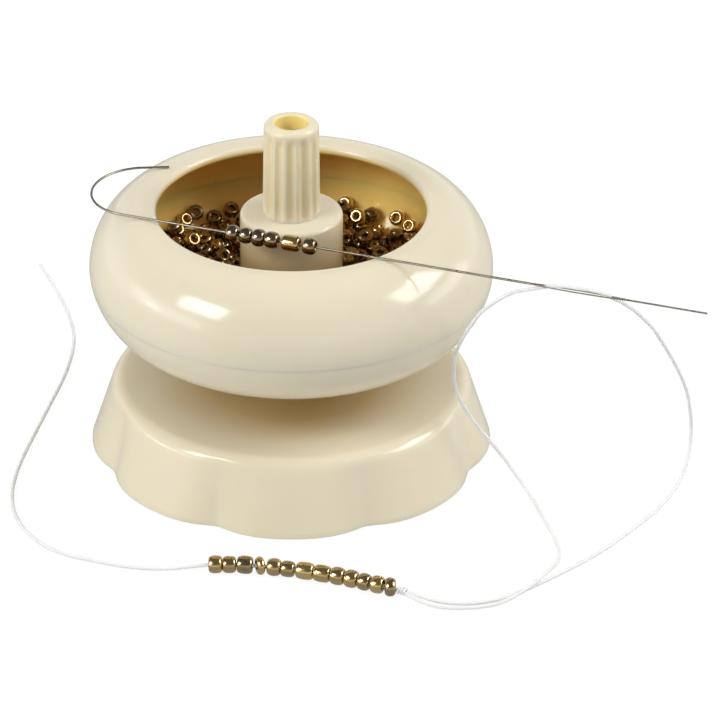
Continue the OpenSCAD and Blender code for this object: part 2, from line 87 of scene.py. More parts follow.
def startMaterial(name, **values):
    material = bpy.data.materials.new(name)
    material.use_nodes = True
    tree = material.node_tree
    shader = tree.nodes["Principled BSDF"]
    for key, value in values.items():
        shader.inputs[key].default_value = value
    return material, tree, shader


def addNode(tree, kind, settings=None, inputs=None):
    node = tree.nodes.new(kind)
    for key, value in (settings or {}).items():
        setattr(node, key, value)
    for key, value in (inputs or {}).items():
        node.inputs[key].default_value = value
    return node


def objectNoise(tree, scale, detail=3, rough=0.5, stretch=(1, 1, 1)):
    coords = addNode(tree, "ShaderNodeTexCoord")
    mapping = addNode(tree, "ShaderNodeMapping", inputs={"Scale": stretch})
    noise = addNode(tree, "ShaderNodeTexNoise", inputs={"Scale": scale, "Detail": detail, "Roughness": rough})
    tree.links.new(coords.outputs["Object"], mapping.inputs["Vector"])
    tree.links.new(mapping.outputs["Vector"], noise.inputs["Vector"])
    return noise.outputs["Fac"]


def rampBetween(tree, fac, stops):
    ramp = addNode(tree, "ShaderNodeValToRGB")
    while len(ramp.color_ramp.elements) < len(stops):
        ramp.color_ramp.elements.new(0.5)
    for element, (place, colour) in zip(ramp.color_ramp.elements, stops):
        element.position = place
        element.color = (*colour, 1)
    tree.links.new(fac, ramp.inputs["Fac"])
    return ramp.outputs["Color"]


def noiseColours(tree, fac, dark, light):
    return rampBetween(tree, fac, list(zip(noiseSpan, (dark, light))))


def spreadValue(tree, fac, low, high):
    spread = addNode(tree, "ShaderNodeMapRange", inputs={
        "From Min": noiseSpan[0], "From Max": noiseSpan[1], "To Min": low, "To Max": high
    })
    tree.links.new(fac, spread.inputs["Value"])
    return spread.outputs["Result"]


def tintBy(tree, attribute, base, tint):
    amount = addNode(tree, "ShaderNodeAttribute", settings={"attribute_name": attribute})
    mix = addNode(tree, "ShaderNodeMix", settings={"data_type": "RGBA"})
    mix.inputs[mixPorts["second"]].default_value = (*tint, 1)
    tree.links.new(amount.outputs["Fac"], mix.inputs[mixPorts["factor"]])
    tree.links.new(base, mix.inputs[mixPorts["first"]])
    return mix.outputs[mixPorts["result"]]


def addBump(tree, shader, fac, strength, distance=0.0001):
    bump = addNode(tree, "ShaderNodeBump", inputs={"Strength": strength, "Distance": distance})
    tree.links.new(fac, bump.inputs["Height"])
    tree.links.new(bump.outputs["Normal"], shader.inputs["Normal"])


plasticBase = {"IOR": 1.5, "Subsurface Radius": (1.0, 0.7, 0.42), "Subsurface Scale": 0.0028}
plasticGrain = {"cloud": 24, "cloudSpan": (0.35, 0.65), "gloss": 260, "dimple": 90, "dimpleHeight": 0.0004}
# colour of the painted shadow on the plastic
shadowTint = (0.50, 0.375, 0.19)


def mouldedPlastic(name, deep, pale, shadeColour, rough, glow, dimple=0.03):
    material, tree, shader = startMaterial(name, **plasticBase, **{"Subsurface Weight": glow})
    cloud = objectNoise(tree, plasticGrain["cloud"], 4)
    outside = rampBetween(tree, cloud, list(zip(plasticGrain["cloudSpan"], (deep, pale))))
    # painted shade: one attribute mixes in a deeper, yellower colour where the plastic lies in shade or gets only
    # light bounced through it, a second mixes in the painted shadow colour
    warmShaded = tintBy(tree, "paintedWarmShade", outside, shadeColour)
    tree.links.new(tintBy(tree, "paintedShadow", warmShaded, shadowTint), shader.inputs["Base Color"])
    gloss = objectNoise(tree, plasticGrain["gloss"], 5, 0.6)
    tree.links.new(spreadValue(tree, gloss, *rough), shader.inputs["Roughness"])
    addBump(tree, shader, objectNoise(tree, plasticGrain["dimple"], 3), dimple, plasticGrain["dimpleHeight"])
    return material


def metalFinish(name, dark, light, rough, scale, stretch=(1, 1, 1)):
    material, tree, shader = startMaterial(name, Metallic=1.0)
    grain = objectNoise(tree, scale, 4, 0.6, stretch)
    tree.links.new(noiseColours(tree, grain, dark, light), shader.inputs["Base Color"])
    tree.links.new(spreadValue(tree, grain, *rough), shader.inputs["Roughness"])
    addBump(tree, shader, grain, 0.08)
    return material


lustre = {
    "tones": [
        (0.0, (0.26, 0.20, 0.135)), (0.35, (0.34, 0.25, 0.125)),
        (0.7, (0.57, 0.40, 0.17)), (1.0, (0.76, 0.54, 0.21))
    ],
    "drift": 0.5, "driftScale": 420, "rough": (0.15, 0.25), "roughScale": 900, "bump": 0.08, "bumpScale": 700
}


def beadLustre(name, s):
    # each bead carries a tone from 0, plum brown, to 1, gold
    material, tree, shader = startMaterial(name, **{
        "Metallic": 1.0, "Coat Weight": 0.9, "Coat Roughness": 0.06, "Coat IOR": 1.6
    })
    tone = addNode(tree, "ShaderNodeAttribute", settings={"attribute_name": "tone"})
    drift = addNode(
        tree, "ShaderNodeMath", settings={"operation": "MULTIPLY_ADD"}, inputs={1: s["drift"], 2: -s["drift"] / 2}
    )
    tree.links.new(objectNoise(tree, s["driftScale"], 3, 0.6), drift.inputs[0])
    mixed = addNode(tree, "ShaderNodeMath", settings={"operation": "ADD", "use_clamp": True})
    tree.links.new(tone.outputs["Fac"], mixed.inputs[0])
    tree.links.new(drift.outputs["Value"], mixed.inputs[1])
    tree.links.new(rampBetween(tree, mixed.outputs["Value"], s["tones"]), shader.inputs["Base Color"])
    gloss = objectNoise(tree, s["roughScale"], 3)
    tree.links.new(spreadValue(tree, gloss, *s["rough"]), shader.inputs["Roughness"])
    addBump(tree, shader, objectNoise(tree, s["bumpScale"], 3), s["bump"])
    return material


def threadNylon(name):
    material, tree, shader = startMaterial(name, **{
        "IOR": 1.3, "Transmission Weight": 0.25, "Roughness": 0.5, "Base Color": (0.94, 0.94, 0.935, 1)
    })
    addBump(tree, shader, objectNoise(tree, 1500, 3, 0.6, (1, 1, 0.4)), 0.05)
    return material


def rubberFinish(name, dark, light, rough):
    material, tree, shader = startMaterial(name, IOR=1.45)
    grain = objectNoise(tree, 1200, 5, 0.7)
    tree.links.new(noiseColours(tree, grain, dark, light), shader.inputs["Base Color"])
    tree.links.new(spreadValue(tree, grain, *rough), shader.inputs["Roughness"])
    addBump(tree, shader, grain, 0.4)
    return material


# the third colour of each plastic is its painted shade colour; on the cover and the washer it is the same as the
# deep colour, so it paints nothing
shellPlastic = mouldedPlastic(
    "shellPlastic", (0.74, 0.67, 0.515), (0.77, 0.705, 0.555), (1.0, 0.70, 0.21), rough=(0.12, 0.19), glow=0.35
)
basePlastic = mouldedPlastic(
    "basePlastic", (0.765, 0.69, 0.52), (0.795, 0.725, 0.56), (0.60, 0.43, 0.19), rough=(0.12, 0.19), glow=0.35
)
knobPlastic = mouldedPlastic(
    "knobPlastic", (0.76, 0.68, 0.50), (0.79, 0.715, 0.54), (0.92, 0.76, 0.32), rough=(0.2, 0.28), glow=0.35,
    dimple=0.012
)
coverPlastic = mouldedPlastic(
    "coverPlastic", (0.76, 0.67, 0.50), (0.80, 0.71, 0.55), (0.76, 0.67, 0.50), rough=(0.3, 0.42), glow=0.05
)
washerPlastic = mouldedPlastic(
    "washerPlastic", (0.83, 0.83, 0.80), (0.87, 0.87, 0.85), (0.83, 0.83, 0.80), rough=(0.3, 0.4), glow=0.05
)
beadGlass = beadLustre("beadGlass", lustre)
nylon = threadNylon("nylon")
needleSteel = metalFinish("needleSteel", (0.28, 0.245, 0.195), (0.43, 0.385, 0.315), (0.25, 0.4), 900)
turnedSteel = metalFinish("turnedSteel", (0.42, 0.41, 0.40), (0.56, 0.55, 0.53), (0.2, 0.34), 500, (1, 1, 6))
bushBrass = metalFinish("bushBrass", (0.55, 0.41, 0.17), (0.68, 0.53, 0.25), (0.25, 0.4), 500, (1, 1, 6))
padRubber = rubberFinish("padRubber", (0.022, 0.022, 0.022), (0.045, 0.044, 0.043), (0.7, 0.9))
print("materials made")


# Shapes
mergeDistance = 1e-6


def arcPoints(r, z, radius, start, end, count):
    steps = [math.radians(start + (end - start) * i / count) for i in range(count + 1)]
    return [(r + radius * math.cos(a), z + radius * math.sin(a)) for a in steps]


def fullCurve(r, z, width, height, full, count):
    # a quarter of a superellipse round (r, z); a negative height turns it down
    points = []
    for i in range(count + 1):
        a = math.radians(90 * i / count)
        across, up = max(0, math.cos(a)) ** (2 / full), max(0, math.sin(a)) ** (2 / full)
        points.append((r + width * across, z + height * up))
    return points


def revolve(bm, profile, steps):
    verts = [bm.verts.new((r * mm, 0, z * mm)) for r, z in profile]
    edges = [bm.edges.new((verts[i - 1], verts[i])) for i in range(len(verts))]
    bmesh.ops.spin(
        bm, geom=verts + edges, cent=(0, 0, 0), axis=(0, 0, 1), angle=2 * math.pi, steps=steps, use_merge=True
    )


def mergeDoubles(bm):
    bmesh.ops.remove_doubles(bm, verts=bm.verts, dist=mergeDistance)


def meshFrom(bm, name):
    mesh = bpy.data.meshes.new(name)
    bm.to_mesh(mesh)
    bm.free()
    return mesh


def cleanMesh(bm, name):
    mergeDoubles(bm)
    bmesh.ops.recalc_face_normals(bm, faces=bm.faces)
    return meshFrom(bm, name)


def placePiece(mesh, name, material, sharpAngle=35):
    mesh.shade_smooth()
    mesh.set_sharp_from_angle(angle=math.radians(sharpAngle))
    mesh.materials.clear()
    mesh.materials.append(material)
    piece = bpy.data.objects.new(name, mesh)
    scene.collection.objects.link(piece)
    return piece


def makePiece(bm, name, material, sharpAngle=35):
    return placePiece(cleanMesh(bm, name), name, material, sharpAngle)


def setValues(piece, name, values):
    attribute = piece.data.attributes.new(name, "FLOAT", "POINT")
    attribute.data.foreach_set("value", np.array(values, np.float32))


def setTone(piece, tone):
    setValues(piece, "tone", [tone] * len(piece.data.vertices))


def clamp(value):
    return min(1, max(0, value))


def spotOf(vert):
    # distance from the spin axis and height, in millimetres
    return math.hypot(vert.co.x, vert.co.y) / mm, vert.co.z / mm


def paintBy(piece, name, rule):
    setValues(piece, name, [clamp(rule(*spotOf(vert))) for vert in piece.data.vertices])


def drawIn(vert, r, drawn):
    # moves a point towards the spin axis
    scale = (r - drawn) / r
    vert.co.x *= scale
    vert.co.y *= scale


# Thread: the route's points in millimetres
threadSize = {"radius": 0.4, "sides": 12, "steps": 5}
eyeTop = (60.2, -40.6, 59.78)
loopRoute = [
    eyeTop, (63.2, -41.6, 59.8), (65.8, -42.5, 59.45), (67.6, -42.7, 58.4), (69.2, -41.3, 57),
    (70.7, -39.6, 55.2), (72.7, -37.5, 52.7), (74.9, -35.2, 49.4), (77.4, -32.7, 45.5),
    (80.4, -29.4, 39.3), (83.6, -25.8, 32.1), (86.2, -22.3, 24.7),
    (87.6, -19.8, 17.8), (88.2, -18.6, 12), (87.6, -21, 7), (85.3, -26, 3.4),
    (81.1, -32, 1.1), (75.6, -39, 0.5), (66.3, -50.4, 0.5), (56.1, -59.9, 0.5),
    (49, -65.6, 0.5), (43.5, -69, 0.5), (37.5, -70.6, 0.5), (31.5, -70.4, 0.8),
    (26, -68.6, 1.5), (21.2, -66.6, 1.8), (15.6, -64.2, 1.8), (9.9, -62, 1.8), (4, -60.1, 1.8),
    (-2, -58.7, 1.8), (-8, -57.7, 1.8), (-14, -57.2, 1.8), (-19.5, -57.1, 1.5),
    (-26, -57, 0.7), (-33, -56.3, 0.5), (-41, -54, 0.5), (-51.5, -49, 0.5), (-58.5, -39.5, 0.5),
    (-61.3, -28, 0.5), (-60.5, -13.6, 0.5), (-56.1, 8.5, 0.5), (-52, 29.3, 0.5),
    (-51.2, 46, 0.5), (-54.9, 63.2, 0.5), (-61, 81, 0.5)
]
returnRoute = [
    eyeTop, (57.4, -39.75, 59.8), (55, -38.95, 59.4), (52.9, -37.6, 58.4), (50.4, -36.4, 57.3),
    (47.7, -35.5, 56.3), (45.2, -34.5, 54.6), (43, -33, 52.2),
    (40.4, -31, 48.7), (38.4, -29.5, 44.7), (36, -28.1, 38.9), (35.2, -26.5, 33.6),
    (35.9, -24.2, 25.6), (39.2, -22.2, 17.8), (43.6, -21.2, 11.2), (47.1, -21.2, 6.4),
    (50.4, -23.4, 2.4), (53, -28.5, 0.6), (55.2, -37, 0.5), (57.4, -47, 0.5),
    (57.3, -53.4, 0.7), (54.6, -59.6, 1.5), (50, -65.6, 1.2), (44, -70.3, 0.5),
    (37.5, -72.2, 0.5), (31, -71.8, 0.5), (27, -70, 0.8), (23.3, -67.8, 1.6)
]


def smoothRoute(route, steps):
    # a smooth curve through every point of the route
    points = [Vector(p) * mm for p in route]
    made = []
    for i in range(len(points) - 1):
        a, b, c, d = points[max(0, i - 1)], points[i], points[i + 1], points[min(len(points) - 1, i + 2)]
        slope, square, cube = c - a, 2 * a - 5 * b + 4 * c - d, 3 * b - a - 3 * c + d
        for k in range(steps):
            t = k / steps
            made.append(0.5 * (2 * b + slope * t + square * t ** 2 + cube * t ** 3))
    made.append(points[-1])
    return made


def lengthOf(points):
    return sum((b - a).length for a, b in zip(points, points[1:]))


def tubeMesh(name, points, radius, sides):
    curve = bpy.data.curves.new(name, "CURVE")
    curve.dimensions = "3D"
    curve.bevel_depth = radius
    curve.bevel_resolution = sides // 4
    curve.use_fill_caps = True
    curve.twist_mode = "MINIMUM"
    spline = curve.splines.new("POLY")
    spline.points.add(len(points) - 1)
    for slot, point in zip(spline.points, points):
        slot.co = (*point, 1)
    holder = bpy.data.objects.new(name, curve)
    scene.collection.objects.link(holder)
    bpy.context.view_layer.update()
    mesh = bpy.data.meshes.new_from_object(holder.evaluated_get(bpy.context.evaluated_depsgraph_get()))
    bpy.data.objects.remove(holder)
    bpy.data.curves.remove(curve)
    return mesh


loopLine = smoothRoute(loopRoute, threadSize["steps"])
returnLine = smoothRoute(returnRoute, threadSize["steps"])
threadParts = []
for name, line in (("threadLoop", loopLine), ("threadReturn", returnLine)):
    mesh = tubeMesh(name, line, threadSize["radius"] * mm, threadSize["sides"])
    threadParts.append(placePiece(mesh, name, nylon, sharpAngle=60))
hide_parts("thread_loop")
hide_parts("thread_return")
for part in threadParts:
    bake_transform(part)
print("thread lengths", round(lengthOf(loopLine), 4), round(lengthOf(returnLine), 4))


# Stage and light
stageSettings = {
    "floorHalf": 4.0, "floorZ": -0.0001, "paper": 0.7, "keepShadow": 0.18, "whiteLevel": 1.1, "mirrored": 0.42
}
softboxes = [
    # name, azimuth and elevation of the middle, width and height in degrees, brightness against white
    ("leftBox", -56, 33, 25, 18, 8.8),
    ("rightBoxNear", 80.5, 34, 19, 21, 5.7),
    ("rightBoxMiddle", 93.2, 36, 3.6, 21, 5.7),
    ("rightBoxFar", 101.3, 37, 9.5, 21, 7.0),
    ("lowWindow", -82, 7.5, 8, 4, 5.0),
    ("leftFill", -74, 10, 50, 12, 1.7),
    ("rightFill", 100, 12, 40, 12, 1.7)
]
# distance and height in metres; the power of a square metre that shows as white
boxSettings = {"distance": 2.5, "aimZ": 0.045, "whitePower": 4}


def addSoftbox(name, azimuth, elevation, width, height, brightness):
    distance = boxSettings["distance"]
    lamp = bpy.data.lights.new(name, "AREA")
    lamp.shape = "RECTANGLE"
    lamp.size = 2 * distance * math.tan(math.radians(width / 2))
    lamp.size_y = 2 * distance * math.tan(math.radians(height / 2))
    lamp.energy = brightness * boxSettings["whitePower"] * lamp.size * lamp.size_y
    holder = bpy.data.objects.new(name, lamp)
    scene.collection.objects.link(holder)
    a, e = math.radians(azimuth), math.radians(elevation)
    out = Vector((math.sin(a) * math.cos(e), -math.cos(a) * math.cos(e), math.sin(e)))
    holder.location = Vector((0, 0, boxSettings["aimZ"])) + out * distance
    holder.rotation_euler = out.to_track_quat("Z", "Y").to_euler()


for box in softboxes:
    addSoftbox(*box)


def mixShaders(tree, factor, first, second):
    mix = addNode(tree, "ShaderNodeMixShader")
    tree.links.new(factor, mix.inputs[0])
    tree.links.new(first.outputs[0], mix.inputs[1])
    tree.links.new(second.outputs[0], mix.inputs[2])
    return mix


def seenRay(tree, path):
    # 1 for what the camera sees, also through a clear piece
    seen = addNode(tree, "ShaderNodeMath", settings={"operation": "MAXIMUM"})
    tree.links.new(path.outputs["Is Camera Ray"], seen.inputs[0])
    tree.links.new(path.outputs["Is Transmission Ray"], seen.inputs[1])
    return seen.outputs[0]


# where the sky's brightness starts and ends is given as the height of the ray's direction
skySettings = {
    "low": 0.04, "lowAt": 0.2, "high": 0.86, "highAt": 0.9, "blueShare": 0.97,
    "horizon": 0.9, "horizonAt": 0.05, "zenith": 0.13, "zenithAt": 0.5
}


def makeWorld(s):
    world = bpy.data.worlds.new("studio")
    scene.world = world
    world.use_nodes = True
    tree = world.node_tree
    tree.nodes.clear()
    output = addNode(tree, "ShaderNodeOutputWorld")
    path = addNode(tree, "ShaderNodeLightPath")
    white = addNode(tree, "ShaderNodeBackground", inputs={"Color": (1, 1, 1, 1), "Strength": 1.0})
    soft = addNode(tree, "ShaderNodeBackground", inputs={"Strength": 1.0})
    shine = addNode(tree, "ShaderNodeBackground", inputs={"Strength": 1.0})
    coords = addNode(tree, "ShaderNodeTexCoord")
    split = addNode(tree, "ShaderNodeSeparateXYZ")
    tree.links.new(coords.outputs["Generated"], split.inputs["Vector"])
    shineStops = [(s["horizonAt"], (s["horizon"],) * 3), (s["zenithAt"], (s["zenith"],) * 3)]
    tree.links.new(rampBetween(tree, split.outputs["Z"], shineStops), shine.inputs["Color"])
    softStops = [
        (s[place], (s[level], s[level], s[level] * s["blueShare"]))
        for place, level in (("lowAt", "low"), ("highAt", "high"))
    ]
    tree.links.new(rampBetween(tree, split.outputs["Z"], softStops), soft.inputs["Color"])
    glossy = mixShaders(tree, path.outputs["Is Glossy Ray"], soft, shine)
    final = mixShaders(tree, seenRay(tree, path), glossy, white)
    tree.links.new(final.outputs[0], output.inputs["Surface"])


makeWorld(skySettings)


def makeFloor(s):
    bm = bmesh.new()
    bmesh.ops.create_grid(bm, x_segments=1, y_segments=1, size=s["floorHalf"])
    bmesh.ops.translate(bm, vec=(0, 0, s["floorZ"]), verts=bm.verts)
    mesh = meshFrom(bm, "floor")
    floor = bpy.data.objects.new("floor", mesh)
    scene.collection.objects.link(floor)
    material = bpy.data.materials.new("paleFloor")
    material.use_nodes = True
    tree = material.node_tree
    tree.nodes.clear()
    output = addNode(tree, "ShaderNodeOutputMaterial")
    paper = addNode(tree, "ShaderNodeBsdfDiffuse", inputs={"Color": (s["paper"], s["paper"], s["paper"], 1)})
    light = addNode(tree, "ShaderNodeEmission", inputs={"Color": (1, 1, 1, 1), "Strength": s["whiteLevel"]})
    dim = addNode(tree, "ShaderNodeEmission", inputs={"Color": (1, 1, 1, 1), "Strength": s["mirrored"]})
    path = addNode(tree, "ShaderNodeLightPath")
    share = addNode(
        tree, "ShaderNodeMath", settings={"operation": "MULTIPLY"}, inputs={1: 1 - s["keepShadow"]}
    )
    tree.links.new(seenRay(tree, path), share.inputs[0])
    plain = mixShaders(tree, path.outputs["Is Glossy Ray"], paper, dim)
    final = mixShaders(tree, share.outputs[0], plain, light)
    tree.links.new(final.outputs[0], output.inputs["Surface"])
    mesh.materials.append(material)


makeFloor(stageSettings)
print("stage and light set")

# Base: hollow moulding with soft lobes round the skirt
baseShape = {
    "footR": 44.8, "footZ": 0.2, "footEdge": 0.4, "footRound": 0.35, "skirtSteps": 14,
    "shoulderR": 37.0, "shoulderZ": 13.0, "round": 3.5, "topZ": 16.5, "sunk": 1.5, "topSteps": 14,
    "filletR": 12.0, "fillet": 4.0, "pedestalR": 8.0, "pedestalZ": 27.25, "pedestalEdge": 0.3,
    "boreR": 2.5, "columnZ": 6.0, "ceilingZ": 12.8, "cavityLowR": 40.4, "cavityHighR": 38.3,
    "cavityEdge": 0.25, "coverZ": 2.8, "seatWidth": 0.6, "near": 0.1,
    "lobes": 8, "lobeDepth": 3.0, "lobeFade": 15.5, "lobeRound": 1.8, "lobePower": 3, "fadePower": 0.6,
    # painted shade on the top under the bowl: strength, outer radius, width and band, then the steps round
    "topWarmShade": 0.85, "warmShadeR": 31, "warmShadeWidth": 12, "topBand": 0.3, "steps": 256
}


def baseProfile(s):
    shoulder = arcPoints(s["shoulderR"], s["shoulderZ"], s["round"], 18, 90, 12)
    foot = (s["footR"], s["footZ"] + s["footRound"])
    rise = s["skirtSteps"]
    skirt = [
        (foot[0] + (shoulder[0][0] - foot[0]) * i / rise, foot[1] + (shoulder[0][1] - foot[1]) * i / rise)
        for i in range(rise)
    ]
    top = []
    for i in range(1, s["topSteps"] + 1):
        t = i / s["topSteps"]
        sunk = s["sunk"] * (1 - math.cos(math.pi * t)) / 2
        top.append((s["shoulderR"] + t * (s["filletR"] - s["shoulderR"]), s["topZ"] - sunk))
    fillet = arcPoints(s["filletR"], s["topZ"] - s["sunk"] + s["fillet"], s["fillet"], 270, 180, 8)[1:]
    return (
        [(s["footR"] - s["footEdge"], s["footZ"])]
        + arcPoints(s["footR"] - s["footRound"], foot[1], s["footRound"], -60, -15, 2)
        + skirt + shoulder + top + fillet
        + [(s["pedestalR"], s["pedestalZ"] - s["pedestalEdge"])]
        + [(s["pedestalR"] - s["pedestalEdge"], s["pedestalZ"]), (s["boreR"], s["pedestalZ"])]
        + [(s["boreR"], s["columnZ"]), (s["pedestalR"], s["columnZ"]), (s["pedestalR"], s["ceilingZ"])]
        + [(s["cavityHighR"], s["ceilingZ"]), (s["cavityLowR"], s["coverZ"])]
        + [(s["cavityLowR"], s["footZ"] + s["cavityEdge"]), (s["cavityLowR"] + s["cavityEdge"], s["footZ"])]
    )


def onSkirt(s, r, z):
    # the outside below the shoulder, and nothing of the cavity or the cover's seat
    seat = r < s["cavityLowR"] + s["seatWidth"] and z < s["coverZ"] + s["near"]
    cavity = r < s["cavityLowR"] + s["near"] and z < s["ceilingZ"] + s["near"]
    return r >= s["shoulderR"] + s["round"] * 0.5 and not seat and not cavity


def lobeCut(s, vert, z):
    # how far the skirt is drawn in between the lobes, most at the floor
    halfLobe = math.pi / s["lobes"]
    angle = math.atan2(vert.co.y, vert.co.x) - math.pi / 2
    across = abs((angle % (2 * halfLobe)) - halfLobe) * s["footR"]
    away = 1 - math.hypot(across, s["lobeRound"]) / (halfLobe * s["footR"])
    fade = max(0, 1 - z / s["lobeFade"]) ** s["fadePower"]
    return s["lobeDepth"] * max(0, away) ** s["lobePower"] * fade


def baseWarmShade(s, r, z):
    # painted shade under the bowl: only on the top, towards the pedestal
    if z <= s["topZ"] - s["sunk"] - s["topBand"]:
        return 0
    return clamp((s["warmShadeR"] - r) / s["warmShadeWidth"]) * s["topWarmShade"]


def makeBase(s):
    bm = bmesh.new()
    revolve(bm, baseProfile(s), s["steps"])
    for vert in bm.verts:
        r, z = spotOf(vert)
        if onSkirt(s, r, z):
            drawIn(vert, r, lobeCut(s, vert, z))
    piece = makePiece(bm, "baseShell", basePlastic)
    paintBy(piece, "paintedWarmShade", lambda r, z: baseWarmShade(s, r, z))
    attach(piece, "base")
    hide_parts("base_shell")


makeBase(baseShape)
print("base made")

# Bowl: dish with the boss, and the ring with the lip
bowlShape = {
    "bowlR": 44.5, "crestR": 32.4, "floorR": 32.2, "bottomZ": 29.3, "bellyZ": 43.9, "crestZ": 58.7,
    "lowFull": 1.8, "highFull": 1.92, "wall": 2.0, "lipR": 29.6, "lipRound": 1.1, "lipDrop": 1.4, "lipClear": 0.7,
    "seamZ": 41.5, "seamEdge": 0.03, "seamBevel": 0.005, "seamGap": 0.003, "seamHolds": (0.06, 0.3),
    "seamClear": 0.4, "tongueZ": 44.0, "tongueR": 43.45, "tongueEdge": 0.2, "tongueSoft": 0.05,
    "tongueClear": 0.5, "tongueGap": 0.1, "ledgeGap": 0.015, "bossR": 11.3, "bossZ": 57.1, "bossRound": 1.0,
    "bossFillet": 1.2, "bossHold": 2, "bossHolds": 11, "bossWall": 2.0, "cavityEdge": 0.4, "plateZ": 54.6,
    "spigotR": 5.3, "spigotEdge": 0.2, "hubR": 6.0, "hubBoreR": 3.95, "hubZ": 50.7, "hubSteps": 64, "steps": 192
}
ribShape = {"count": 4, "start": 45, "lap": 0.6, "width": 1.2, "height": 20.4, "middle": 10.3}
# painted shade and painted shadow: how far they are from the part's edges and how fast they grow
bowlShadeTint = {
    "boss": 0.35, "bossSide": 1.3, "bossDrop": 1, "bossFade": 8, "full": 0.955, "fade": 0.09,
    "shadowSide": 0.1, "shadowDrop": 2
}


def lowCurve(s, wall):
    # from the widest line down to the flat floor
    width, height = s["bowlR"] - wall - s["floorR"], s["bottomZ"] + wall - s["bellyZ"]
    return fullCurve(s["floorR"], s["bellyZ"], width, height, s["lowFull"], 40)


def highCurve(s, wall):
    # from the widest line up to the crest
    width, height = s["bowlR"] - wall - s["crestR"], s["crestZ"] - wall - s["bellyZ"]
    return fullCurve(s["crestR"], s["bellyZ"], width, height, s["highFull"], 36)


def radiusAt(curve, z):
    for (r0, z0), (r1, z1) in zip(curve, curve[1:]):
        if min(z0, z1) <= z <= max(z0, z1):
            return r0 + (r1 - r0) * (z - z0) / (z1 - z0)
    return curve[0][0]


def bowlWarmShade(s, r, z):
    # painted shade: deep inside the bowl, paler up the boss, none outside
    if r < s["bossR"] + bowlShadeTint["bossSide"]:
        return bowlShadeTint["boss"] * clamp((s["bossZ"] - bowlShadeTint["bossDrop"] - z) / bowlShadeTint["bossFade"])
    full, height = s["lowFull"], s["bellyZ"] - s["bottomZ"]
    if z >= s["bellyZ"]:
        full, height = s["highFull"], s["crestZ"] - s["bellyZ"]
    across = max(0, r - s["crestR"]) / (s["bowlR"] - s["crestR"])
    reach = (across ** full + (abs(z - s["bellyZ"]) / height) ** full) ** (1 / full)
    return (bowlShadeTint["full"] - reach) / bowlShadeTint["fade"]


# painted shadow on the boss, darker towards its foot
def bossPaintedShadow(s, r, z):
    if r >= s["bossR"] + bowlShadeTint["shadowSide"]:
        return 0
    return (s["bossZ"] - bowlShadeTint["shadowDrop"] - z) / bowlShadeTint["bossFade"]


def seamPoint(s, curve, away):
    z = s["seamZ"] + away
    return radiusAt(curve, z), z


def addRibs(bm, s, fromR, toR, floorZ):
    # ribs between the hub and the boss
    for i in range(s["count"]):
        made = bmesh.ops.create_cube(bm, size=1)["verts"]
        size = ((toR - fromR + s["lap"]) * mm, s["width"] * mm, s["height"] * mm)
        bmesh.ops.scale(bm, vec=size, verts=made)
        bmesh.ops.translate(bm, vec=((toR + fromR) / 2 * mm, 0, (floorZ + s["middle"]) * mm), verts=made)
        turn = Matrix.Rotation(math.radians(s["start"] + 360 / s["count"] * i), 3, "Z")
        bmesh.ops.rotate(bm, cent=(0, 0, 0), matrix=turn, verts=made)


def makeDish(s):
    bm = bmesh.new()
    outer, inner = lowCurve(s, 0), lowCurve(s, s["wall"])
    edge, soft, bevel = s["seamEdge"], s["tongueSoft"], s["tongueEdge"]
    seamR = radiusAt(outer, s["seamZ"])
    cavityR, cavityEdge = s["bossR"] - s["bossWall"], s["cavityEdge"]
    tongueIn = s["bowlR"] - s["wall"]
    filletZ = s["bottomZ"] + s["wall"] + s["bossFillet"]
    profile = (
        [(cavityR, s["plateZ"]), (cavityR, s["bottomZ"] + cavityEdge), (cavityR + cavityEdge, s["bottomZ"])]
        + [p for p in outer[::-1] if p[1] < s["seamZ"] - edge - s["seamClear"]]
        + [seamPoint(s, outer, -edge - away) for away in s["seamHolds"][::-1]]
        + [(seamR - s["seamBevel"], s["seamZ"] - edge), (seamR - edge, s["seamZ"])]
        + [(s["tongueR"], s["seamZ"]), (s["tongueR"], s["tongueZ"] - bevel), (s["tongueR"] - bevel, s["tongueZ"])]
        + [(tongueIn + soft, s["tongueZ"]), (tongueIn, s["tongueZ"] - soft), (tongueIn, s["tongueZ"] - bevel)]
        + [p for p in inner if p[1] < s["tongueZ"] - s["tongueClear"]]
        + arcPoints(s["bossR"] + s["bossFillet"], filletZ, s["bossFillet"], 270, 180, 5)
        + [(s["bossR"], filletZ + s["bossHold"] * i) for i in range(1, s["bossHolds"] + 1)]
        + arcPoints(s["bossR"] - s["bossRound"], s["bossZ"] - s["bossRound"], s["bossRound"], 0, 90, 8)
        + [(s["spigotR"] + s["spigotEdge"], s["bossZ"]), (s["spigotR"], s["bossZ"] - s["spigotEdge"])]
        + [(s["spigotR"], s["plateZ"])]
    )
    revolve(bm, profile, s["steps"])
    hub = [
        (s["hubBoreR"], s["bottomZ"]), (s["hubR"], s["bottomZ"]),
        (s["hubR"], s["hubZ"]), (s["hubBoreR"], s["hubZ"])
    ]
    revolve(bm, hub, s["hubSteps"])
    addRibs(bm, ribShape, s["hubR"], cavityR, s["bottomZ"])
    piece = makePiece(bm, "bowlDish", shellPlastic)
    paintBy(piece, "paintedWarmShade", lambda r, z: bowlWarmShade(s, r, z))
    paintBy(piece, "paintedShadow", lambda r, z: bossPaintedShadow(s, r, z))
    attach(piece, "bowl")
    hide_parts("bowl_dish")


